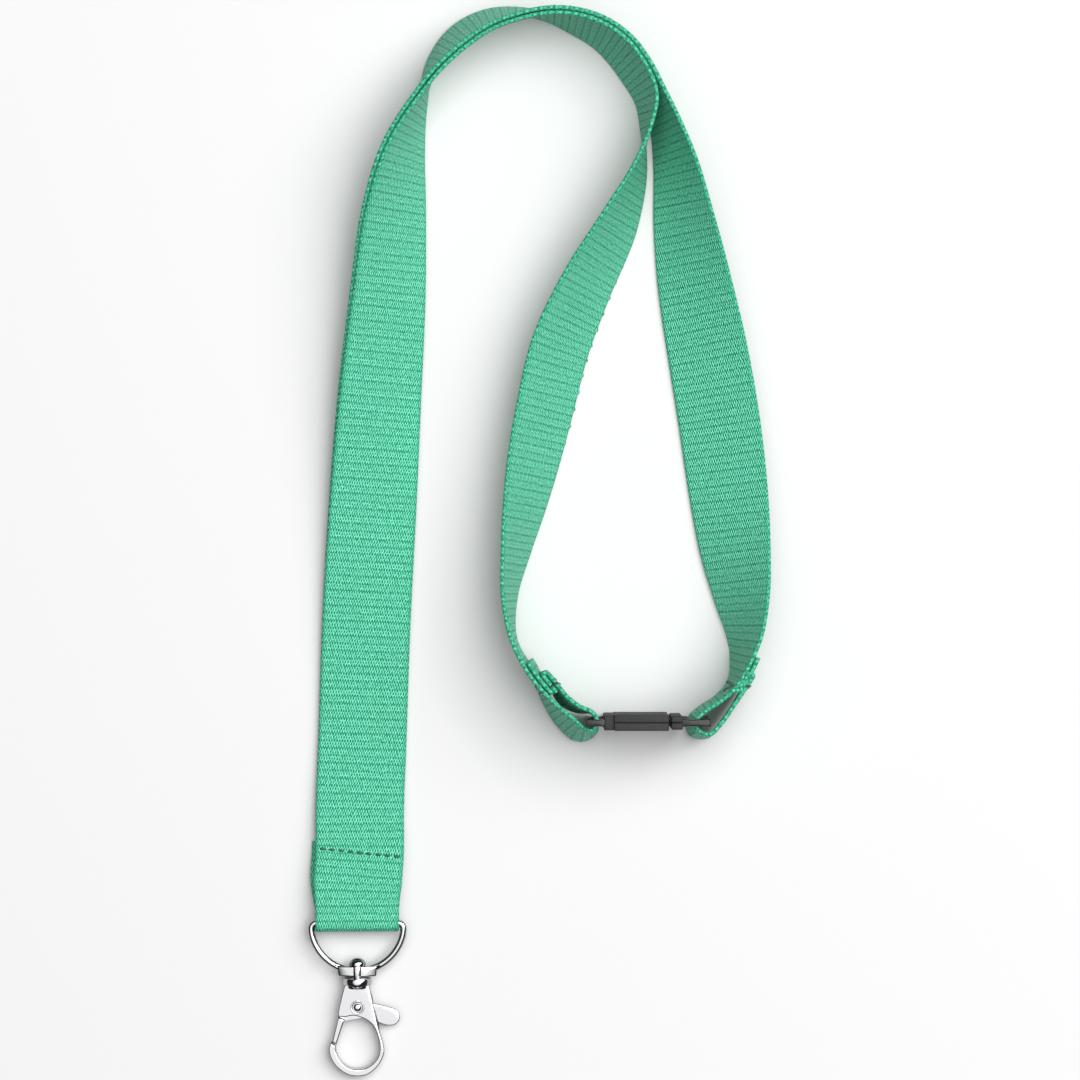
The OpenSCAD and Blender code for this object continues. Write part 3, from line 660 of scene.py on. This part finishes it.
def ring_wire(bm):
    """Half the D's wire: from the middle of the bar round to the boss."""
    boss_mid = (BOSS_TOP + BOSS_LOW) / 2
    reach = RING_HALF - RING_SIDE_R
    drop = boss_mid - RING_CORNER - RING_SIDE_R
    wide_r = RING_SIDE_R + (reach ** 2 + drop ** 2) / (2 * drop)
    side_angle = math.acos(reach / (wide_r - RING_SIDE_R))
    made = bmesh.ops.create_circle(bm, segments=20, radius=WIRE_R,
                                   matrix=Matrix.Rotation(math.radians(90), 4, "Y"))
    edges = list({e for v in made["verts"] for e in v.link_edges})
    grown = bmesh.ops.extrude_edge_only(bm, edges=edges)
    tip = [g for g in grown["geom"] if isinstance(g, bmesh.types.BMVert)]
    bmesh.ops.translate(bm, verts=tip, vec=(RING_HALF - RING_CORNER, 0, 0))
    loop = [g for g in grown["geom"] if isinstance(g, bmesh.types.BMEdge)]
    turns = ((RING_HALF - RING_CORNER, -RING_CORNER, math.pi / 2, 12),
             (reach, -RING_CORNER, side_angle, 18),
             (0, wide_r - boss_mid, WIRE_END - side_angle, 18))
    for x, y, angle, steps in turns:
        spun = bmesh.ops.spin(bm, geom=tip + loop, axis=(0, 0, -1), cent=(x, y, 0), steps=steps,
                              angle=angle)
        tip = [g for g in spun["geom_last"] if isinstance(g, bmesh.types.BMVert)]
        loop = [g for g in spun["geom_last"] if isinstance(g, bmesh.types.BMEdge)]
    return bm


bm = ring_wire(bmesh.new())
bmesh.ops.mirror(bm, geom=bm.verts[:] + bm.edges[:] + bm.faces[:], axis="X", merge_dist=1e-4)
bmesh.ops.holes_fill(bm, edges=[e for e in bm.edges if e.is_boundary])
# The boss: a bar across the foot of the D
foot = plate(bm, [(-4.3, -BOSS_LOW + 0.15), (-4.1, -BOSS_LOW), (4.1, -BOSS_LOW), (4.3, -BOSS_LOW + 0.15),
                  (BOSS_HALF, -BOSS_TOP - 0.25), (4.3, -BOSS_TOP), (-4.3, -BOSS_TOP),
                  (-BOSS_HALF, -BOSS_TOP - 0.25)], -BOSS_Z, BOSS_Z)
round_rims(bm, foot, 0.5, segments=6)
# Its upper and lower faces fall away from the barrel
bmesh.ops.bisect_plane(bm, geom=bm.verts[:] + bm.edges[:] + bm.faces[:], plane_co=(0, 0, 0),
                       plane_no=(1, 0, 0))
for v in bm.verts:
    if -BOSS_LOW - 0.01 < v.co.y < -BOSS_TOP + 0.01 and abs(v.co.x) < BOSS_HALF + 0.1:
        v.co.z *= BOSS_SWELL - BOSS_FALL * abs(v.co.x) / BOSS_HALF
# The barrel round the swivel's shank
barrel = bmesh.ops.create_cone(bm, cap_ends=True, segments=48, radius1=BARREL_R, radius2=BARREL_R,
                               depth=BOSS_LOW - BOSS_TOP + 0.25,
                               matrix=Matrix.Translation((0, -(BOSS_TOP + BOSS_LOW) / 2, 0))
                               @ Matrix.Rotation(math.radians(90), 4, "X"))
barrel_rims = [e for e in bm.edges if set(e.verts) <= set(barrel["verts"])
               and len(e.link_faces) == 2 and e.calc_face_angle(0) > 1]
bmesh.ops.bevel(bm, geom=barrel_rims, offset=0.2, offset_type="OFFSET", affect="EDGES", segments=3,
                profile=0.5, material=-1)
bmesh.ops.transform(bm, matrix=HOOK_MM, verts=bm.verts)
piece(bm, "cast_d_ring", "ring", nickel, sharp=40, replaces=["d_ring"])

# %% [markdown]
# ## Swivel stud
# A turned stud holds the claw to the D-ring: a domed head inside the D, and a shank that runs through the
# boss, shows in the narrow gap above the collar and is fixed in the claw. One profile gives both.

# %% Swivel stud
SHANK_R, SHANK_END = 1.2, 15.1
HEAD_R, HEAD_LOW, HEAD_WIDEST, HEAD_DOME = 1.92, 9.75, 9.35, 1.45
stud_profile = [(0, SHANK_END), (SHANK_R, SHANK_END), (SHANK_R, HEAD_LOW), (1.82, HEAD_LOW), (HEAD_R, 9.62)]
stud_profile += [(HEAD_R * math.cos(a), HEAD_WIDEST - HEAD_DOME * math.sin(a))
                 for a in np.radians(np.arange(0, 91, 10))]
turned_piece("turned_stud", stud_profile, "claw", nickel, ALONG_HOOK, ["swivel_stud"])

# %% [markdown]
# ## Claw
# The claw is one zinc casting: a round collar, a neck that flattens into two cheeks, and a curved arm
# that sweeps round to the nose. Its outline is drawn once as smooth runs between its corners, made a
# plate and rounded along both rims, because a polished casting has no sharp edge left on it.

# %% Claw body
PLATE_HALF = 1.7
SLOT_HALF = 1.0
RIVET = (0.05, -19.1)
# Down the right flank and round the tip to the nose
claw_outline = smooth_run([
    (2.75, -13.8), (3.35, -17), (3.95, -19.8), (5.1, -24.8), (5.85, -27.3), (6.15, -29), (5.45, -31.3),
    (4.1, -33.15), (2.1, -34.55), (0, -34.9), (-1.95, -34.6), (-3.9, -33.5), (-5.5, -31.8),
    (-6.35, -29.8), (-6.5, -28.3), (-6.05, -27.2)])
# Back round the inside of the arm to the foot of the cheeks
claw_outline += smooth_run([
    (-4.85, -28.0), (-4.95, -28.6), (-4.55, -29.9), (-3.7, -31.5), (-2.2, -32.75), (0, -33.3),
    (2.35, -32.75), (3.75, -31.7), (4.75, -30.2), (5.05, -28.6), (4.85, -26.8), (4.3, -24.9),
    (3.45, -23.2), (2.4, -22.2), (0.8, -21.4), (-1.05, -21), (-2.75, -21.35)])
# Up the left flank
claw_outline += smooth_run([(-4.45, -21.2), (-4.3, -19.8), (-3.7, -17.0), (-2.85, -13.8)])
bm = bmesh.new()
flat = plate(bm, claw_outline, -PLATE_HALF, PLATE_HALF)
round_rims(bm, flat, 0.5, segments=5)
bmesh.ops.recalc_face_normals(bm, faces=bm.faces)
# The lever and its spring turn in a slot between the two cheeks
bm = cut_slot(bm, (-8, -24.3, -SLOT_HALF), (8, -16.1, SLOT_HALF))
# Neck: four rings bridged from the round collar down to the flat cheeks, which get squarer on the way.
# Each has a place along the hook, half widths and the power of its superellipse.
NECK_SHAPES = (
    (-14.0, 2.9, 2.6, 2.0),
    (-14.4, 2.85, 2.2, 2.4),
    (-14.75, 2.8, 1.85, 3.4),
    (-15.1, 2.8, 1.6, 5.0),
)
NECK_POINTS = 40
neck_rings = []
for y, half_x, half_z, power in NECK_SHAPES:
    ring = []
    for i in range(NECK_POINTS):
        a = 2 * math.pi * i / NECK_POINTS
        c, d = math.cos(a), math.sin(a)
        scale = (abs(c) ** power + abs(d) ** power) ** (-1 / power)
        ring.append(bm.verts.new((half_x * c * scale, y, half_z * d * scale)))
    neck_rings.append([bm.edges.new((ring[i], ring[(i + 1) % NECK_POINTS])) for i in range(NECK_POINTS)])
for upper, lower in zip(neck_rings, neck_rings[1:]):
    bmesh.ops.bridge_loops(bm, edges=upper + lower)
bmesh.ops.holes_fill(bm, edges=neck_rings[0] + neck_rings[-1])
# Collar, wider than the stud's head
COLLAR_TOP, COLLAR_LOW = 12.4, 14.3
collar = bmesh.new()
lathe(collar, [(0, COLLAR_TOP), (2.7, COLLAR_TOP), (3.1, 12.52), (3.24, 12.75), (3.26, 13.85),
               (3.12, 14.15), (2.7, COLLAR_LOW), (0, COLLAR_LOW)])
bmesh.ops.transform(collar, matrix=Matrix.Rotation(math.radians(90), 4, "X"), verts=collar.verts)
joined_mesh(bm, collar)
bmesh.ops.transform(bm, matrix=HOOK_MM, verts=bm.verts)
piece(bm, "cast_claw", "claw", nickel, sharp=35, replaces=["claw_body"])

# %% [markdown]
# ## Rivet
# The gate turns on a rivet whose formed head sits in a raised ring on the cheek. Head and ring are turned
# shapes on both faces of the claw.

# %% Rivet heads and their rings
RIVET_BASE = 1.5
HEAD_DOME_R = 0.92
ring_profile = [(0, RIVET_BASE), (1.62, RIVET_BASE), (1.6, 1.74), (1.5, 1.86), (1.35, 1.88), (1.18, 1.8),
                (1.1, 1.68), (0, 1.66)]
head_profile = [(0, RIVET_BASE), (HEAD_DOME_R, RIVET_BASE)] + dome(HEAD_DOME_R, 0.42, 1.72)
for side, words in ((1, "upper"), (-1, "lower")):
    place = HOOK_MM @ Matrix.Translation((*RIVET, 0)) @ Matrix.Scale(side, 4, (0, 0, 1))
    turned_piece(f"rivet_ring_{words}", ring_profile, "claw", nickel, place)
    turned_piece(f"rivet_head_{words}", head_profile, "claw", nickel, place,
                 ["gate_rivet"] if side == 1 else ())

# %% [markdown]
# ## Gate and lever
# The gate is cast in one with its thumb lever. It closes the gap between cheek and nose with a slanted
# end, and the lever is a flat tongue that stands out on the other side.

# %% Gate lever
bm = bmesh.new()
lever = smooth_run([(1.0, -17.75), (3.9, -18.45), (7.2, -19.25), (8.6, -19.75), (9.55, -20.9), (9.5, -22.2),
                    (8.4, -23.35), (7.1, -23.5), (4.4, -22.75), (1.2, -21.75)])
LEVER_LOW, LEVER_HIGH = -0.9, 0.1
GATE_HALF = 1.45
HUB_INSET = 0.05
tongue = plate(bm, lever, LEVER_LOW, LEVER_HIGH)
round_rims(bm, tongue, 0.3)
# The gate runs from the cheek's foot to the nose, and a thin hub joins it to the lever
gate_outline = [(-4.35, -21.45), (-2.85, -21.85), (-3.1, -22.6), (-4.75, -27.7), (-5.8, -26.95),
                (-5.2, -24.6)]
bar = plate(bm, gate_outline, -GATE_HALF, GATE_HALF)
round_rims(bm, bar, 0.35)
plate(bm, [(-1, -17.9), (1.2, -17.6), (1.4, -21.6), (-3.2, -22.4), (-4.1, -21.3)],
      LEVER_LOW + HUB_INSET, LEVER_HIGH - HUB_INSET)
bmesh.ops.transform(bm, matrix=HOOK_MM, verts=bm.verts)
piece(bm, "cast_gate_lever", "gate", nickel, sharp=35, replaces=["gate_lever"])
paint("gate_spring", nickel)

# %% [markdown]
# ## Buckle socket
# The socket is moulded in two halves that meet in a parting line round its edge. Each half is a block with
# bevelled edges, so the line is a real groove. A step leads to two thin arms that hold the bar.

# %% Socket body and frame
def in_mm(bm):
    """Scales a bmesh drawn in millimetres to metres."""
    bmesh.ops.scale(bm, vec=(MM, MM, MM), verts=bm.verts)
    return bm


socket_low, socket_high = [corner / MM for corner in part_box("buckle_socket")]
BUCKLE_Y = (socket_low.y + socket_high.y) / 2
BUCKLE_W = socket_high.z
SOCKET_MOUTH = socket_high.x
SOCKET_HALF = (socket_high.y - socket_low.y) / 2
BODY_START, STEP_START = 17.0, 14.7
PARTING_HALF = 0.03
STEP_HALF, STEP_INSET = 1.7, 0.9

bm = bmesh.new()
for side in (-1, 1):
    near, far = BUCKLE_Y + side * PARTING_HALF, BUCKLE_Y + side * SOCKET_HALF
    block(bm, (BODY_START, min(near, far), 0), (SOCKET_MOUTH, max(near, far), BUCKLE_W), 0.22)
# The step behind the body, sunk a little way into it
block(bm, (STEP_START, BUCKLE_Y - STEP_HALF, STEP_INSET),
      (BODY_START + 0.3, BUCKLE_Y + STEP_HALF, BUCKLE_W - STEP_INSET), 0.3)
piece(in_mm(bm), "moulded_socket", "strap", textured_acetal, replaces=["buckle_socket"])


ARM_INSET, ARM_T = 0.35, 1.7


def frame_arms(bm, start, end, bar_x, bar_r):
    """The two thin arms outside the webbing, slightly waisted, and the round bar between them."""
    for low in (ARM_INSET, BUCKLE_W - ARM_INSET - ARM_T):
        waist_x = start + 0.35 * (end - start)
        waist = [(start, -0.95), (waist_x, -0.72), (end, -0.86), (end, 0.86), (waist_x, 0.72), (start, 0.95)]
        outline = [(x, BUCKLE_Y + y) for x, y in waist]
        arm = plate(bm, outline if end > start else outline[::-1], low, low + ARM_T)
        round_rims(bm, arm, 0.3)
    bmesh.ops.create_cone(bm, cap_ends=True, segments=32, radius1=bar_r, radius2=bar_r,
                          depth=BUCKLE_W - 1.2,
                          matrix=Matrix.Translation((bar_x, BUCKLE_Y, BUCKLE_W / 2)))


bm = bmesh.new()
frame_arms(bm, start=15.0, end=10.7, bar_x=11.4, bar_r=0.85)
piece(in_mm(bm), "socket_bar_frame", "strap", glossy_acetal)

# %% [markdown]
# ## Buckle plug
# The plug has a chamfered shoulder that butts against the socket, the same thin arms and bar, and a prong
# that is hidden inside the socket until the buckle is pulled apart.

# %% Plug
SHOULDER_START, SHOULDER_END, SHOULDER_HALF, SHOULDER_INSET = 29.75, 32.3, 1.55, 0.1
PRONG_TIP, PRONG_END, PRONG_HALF, PRONG_ROOT = 19.1, 30.2, 0.8, 27.9

bm = bmesh.new()
for side in (-1, 1):
    near, far = BUCKLE_Y + side * 0.02, BUCKLE_Y + side * SHOULDER_HALF
    block(bm, (SHOULDER_START, min(near, far), SHOULDER_INSET),
          (SHOULDER_END, max(near, far), BUCKLE_W - SHOULDER_INSET), 0.35)
# Prong: two legs with a split between them, joined at the root
for low, high in ((4.4, 10.1), (14.3, 20.0)):
    block(bm, (PRONG_TIP, BUCKLE_Y - PRONG_HALF, low), (PRONG_END, BUCKLE_Y + PRONG_HALF, high), 0.2)
block(bm, (PRONG_ROOT, BUCKLE_Y - PRONG_HALF, 9.5), (PRONG_END, BUCKLE_Y + PRONG_HALF, 14.9), 0.15)
piece(in_mm(bm), "moulded_plug", "plug_end", textured_acetal, replaces=["buckle_plug"])

bm = bmesh.new()
frame_arms(bm, start=32.0, end=38.5, bar_x=37.6, bar_r=0.95)
piece(in_mm(bm), "plug_bar_frame", "plug_end", glossy_acetal)

# %% [markdown]
# ## Sewing
# The rows are lock stitches in a polyester thread, coloured much darker than the webbing as painted shade
# of the stitch line and its needle holes. Each stitch is a short plump bar whose ends dip into its needle
# holes. Loose thread ends stand out at the corners of the two buckle loops, where the machine stopped.

# %% Stitches
def thread_material(name, light, dark):
    """Twisted polyester sewing thread."""
    material, tree, shader = new_material(name)
    place = add(tree, "ShaderNodeTexCoord")
    fibre = add(tree, "ShaderNodeTexNoise", {"Scale": 4000.0, "Detail": 2.0},
                {"Vector": place.outputs["Object"]})
    ramp = add(tree, "ShaderNodeValToRGB", links={0: fibre.outputs[0]})
    ramp.color_ramp.elements[0].position = 0.35
    ramp.color_ramp.elements[0].color = hex_colour(dark)
    ramp.color_ramp.elements[1].position = 0.65
    ramp.color_ramp.elements[1].color = hex_colour(light)
    bump = add(tree, "ShaderNodeBump", {"Strength": 0.5, "Distance": 0.05 * MM},
               {"Height": fibre.outputs[0]})
    tree.links.new(ramp.outputs[0], shader.inputs["Base Color"])
    tree.links.new(bump.outputs[0], shader.inputs["Normal"])
    shader.inputs["Roughness"].default_value = 0.5
    return material


# Painted shade: the stitch thread is coloured much darker than its own green, standing in for the shadow
# along the stitch line and in its needle holes.
seam_thread_painted_shade = thread_material("sewing_thread_painted_shade", "#1F6B50", "#07291C")
dark_thread = thread_material("singed_thread_end", "#2E4A3E", "#141C18")


# A stitch's share of the pitch, its width and height, and its lift off the face
STITCH_SHARE, STITCH_W, STITCH_H, STITCH_LIFT = 0.68, 0.7, 0.5, 0.05


def stitch_row(name, holes, normals, body, replaces):
    """Plump stitches between neighbouring needle holes, each lying on the face's normal."""
    bm = bmesh.new()
    for i, (a, b) in enumerate(zip(holes, holes[1:])):
        a, b, up = Vector(a), Vector(b), Vector(normals[i])
        along = b - a
        turn = along.to_track_quat("X", "Z").to_matrix().to_4x4()
        made = bmesh.ops.create_uvsphere(bm, u_segments=12, v_segments=8, radius=0.5)
        size = Matrix.Diagonal((along.length * STITCH_SHARE, STITCH_W, STITCH_H, 1))
        place = Matrix.Translation((a + b) / 2 + up * STITCH_LIFT) @ turn @ size
        bmesh.ops.transform(bm, matrix=place, verts=made["verts"])
    return piece(in_mm(bm), name, body, seam_thread_painted_shade, sharp=180, replaces=replaces)


def face_point(frames, at, across, out):
    """A point on a frame's face, with the face's normal."""
    row = frames[at]
    return row[:3] + row[3:6] * across + row[6:9] * out, row[6:9]


STITCH_Y, STITCH_SLANT, STITCH_LENGTH = -69.6, math.radians(6), 2.1
top_holes, top_normals, low_holes, low_normals = [], [], [], []
for i in range(10):
    x = -9.4 + STITCH_LENGTH * i
    near = int(np.argmin(np.abs(both[:, 1] - (STITCH_Y - x * math.tan(STITCH_SLANT)))))
    point, normal = face_point(both, near, -x, STRAP_T + LAYER_GAP / 2)
    point[1] = STITCH_Y - x * math.tan(STITCH_SLANT)
    top_holes.append(point)
    top_normals.append(normal)
    under = point - normal * (STACK_T + STRAP_T + LAYER_GAP)
    low_holes.append(under)
    low_normals.append(-normal)
stitch_row("hook_seam_top", top_holes, top_normals, "strap", ["hook_end_stitches"])
stitch_row("hook_seam_back", low_holes, low_normals, "strap", ())


# The hem starts this many rows before the end of a branch
HEM_ROWS = 12


def loop_seam(name, frames, main_near, tail_near, body, replaces):
    """Two rows up the webbing, on the loop's own strap and on its hem."""
    for part, near in (("strap", main_near), ("hem", tail_near)):
        window = frames[:-HEM_ROWS] if part == "strap" else frames[-HEM_ROWS:]
        gap = np.linalg.norm(window[:, :2] - np.array(near), axis=1)
        row = window[int(np.argmin(gap))]
        heights = np.arange(-8.8, 8.9, 2.2)
        holes = [row[:3] + row[3:6] * h + row[6:9] * (STRAP_T / 2 + 0.03) for h in heights]
        stitch_row(f"{name}_{part}", holes, [row[6:9]] * len(holes), body,
                   replaces if part == "strap" else ())


THREAD_END_R = 0.2


def thread_end(name, points, body):
    """A loose end of thread along a few points, in millimetres."""
    bm = bmesh.new()
    tip = bmesh.ops.create_circle(bm, segments=10, radius=THREAD_END_R)["verts"]
    aim = (Vector(points[1]) - Vector(points[0])).to_track_quat("Z", "Y").to_matrix().to_4x4()
    bmesh.ops.transform(bm, matrix=Matrix.Translation(points[0]) @ aim, verts=tip)
    loop = list({e for v in tip for e in v.link_edges})
    for before, after in zip(points, points[1:]):
        grown = bmesh.ops.extrude_edge_only(bm, edges=loop)["geom"]
        loop = [g for g in grown if isinstance(g, bmesh.types.BMEdge)]
        tip = [g for g in grown if isinstance(g, bmesh.types.BMVert)]
        bmesh.ops.translate(bm, verts=tip, vec=Vector(after) - Vector(before))
    bmesh.ops.holes_fill(bm, edges=[e for e in bm.edges if e.is_boundary])
    return piece(in_mm(bm), name, body, dark_thread, sharp=60)


thread_end("socket_thread_end",
           [(2.7, -31.6, 22.2), (3.5, -31.0, 22.6), (4.3, -30.6, 22.8), (5.0, -30.9, 22.6)], "strap")
thread_end("socket_thread_knot", [(0.2, -33.2, 22.2), (0.6, -32.9, 22.5), (1.1, -33.0, 22.3)], "strap")
thread_end("plug_thread_end",
           [(43.7, -31.3, 22.2), (42.8, -31.7, 22.6), (42.0, -32.0, 22.5), (41.4, -32.6, 22.2)], "plug_end")
thread_end("plug_thread_bit", [(46.6, -31.6, 22.2), (47.1, -31.3, 22.5), (47.6, -31.4, 22.4)], "plug_end")
loop_seam("socket_seam", inner, (0.3, -31.8), (3.1, -31), "strap", ["socket_loop_stitches"])
loop_seam("plug_seam", outer, (43.9, -31.2), (46.5, -32), "plug_end", ["plug_loop_stitches"])

# %% [markdown]
# ## Table and light
# A plain pale table and one large soft light high on the right, with a weaker one lower down on the same
# side, so that the faces of the webbing that lean to the left fall into shade. Plated metal looks like
# what it mirrors, so the sky is a white disc overhead and black below it, like a dark room with a
# ceiling light: flat faces mirror the disc, and rounded edges mirror the black.

# %% Table, soft lights and sky
bm = bmesh.new()
bmesh.ops.create_grid(bm, x_segments=1, y_segments=1, size=3.0)
table_mesh = bpy.data.meshes.new("table")
bm.to_mesh(table_mesh)
bm.free()
table_material, table_tree, table_shader = new_material("white_table")
table_shader.inputs["Base Color"].default_value = hex_colour("#CCCCCC")
table_shader.inputs["Roughness"].default_value = 0.9
table_shader.inputs["Specular IOR Level"].default_value = 0.1
table_mesh.materials.append(table_material)
table = bpy.data.objects.new("table", table_mesh)
bpy.context.scene.collection.objects.link(table)


def soft_light(name, place, target, size, power):
    """A square soft light at a place, aimed at a target."""
    data = bpy.data.lights.new(name, "AREA")
    data.shape = "SQUARE"
    data.size = size
    data.energy = power
    lamp = bpy.data.objects.new(name, data)
    lamp.location = place
    lamp.rotation_euler = (Vector(target) - Vector(place)).to_track_quat("-Z", "Y").to_euler()
    bpy.context.scene.collection.objects.link(lamp)
    print("light", name, power, "W")


soft_light("overhead", (0.5, 0.35, 1.6), (0, 0, 0), 1.5, 35.0)
soft_light("side", (1.0, 0.5, 0.9), (0, 0, 0), 0.6, 5.0)
world = bpy.data.worlds.new("studio")
bpy.context.scene.world = world
world.use_nodes = True
world.node_tree.nodes.clear()
sky_place = add(world.node_tree, "ShaderNodeTexCoord")
sky_split = add(world.node_tree, "ShaderNodeSeparateXYZ", links={0: sky_place.outputs["Generated"]})
sky = add(world.node_tree, "ShaderNodeValToRGB", links={0: sky_split.outputs[2]})
sky.color_ramp.elements[0].position = 0.78
sky.color_ramp.elements[0].color = (0.02, 0.02, 0.02, 1)
sky.color_ramp.elements[1].position = 0.92
sky.color_ramp.elements[1].color = (1, 1, 1, 1)
light_sky = add(world.node_tree, "ShaderNodeBackground", {"Strength": 1.95}, {"Color": sky.outputs[0]})
add(world.node_tree, "ShaderNodeOutputWorld", links={"Surface": light_sky.outputs[0]})
bpy.context.scene.view_settings.view_transform = "Standard"
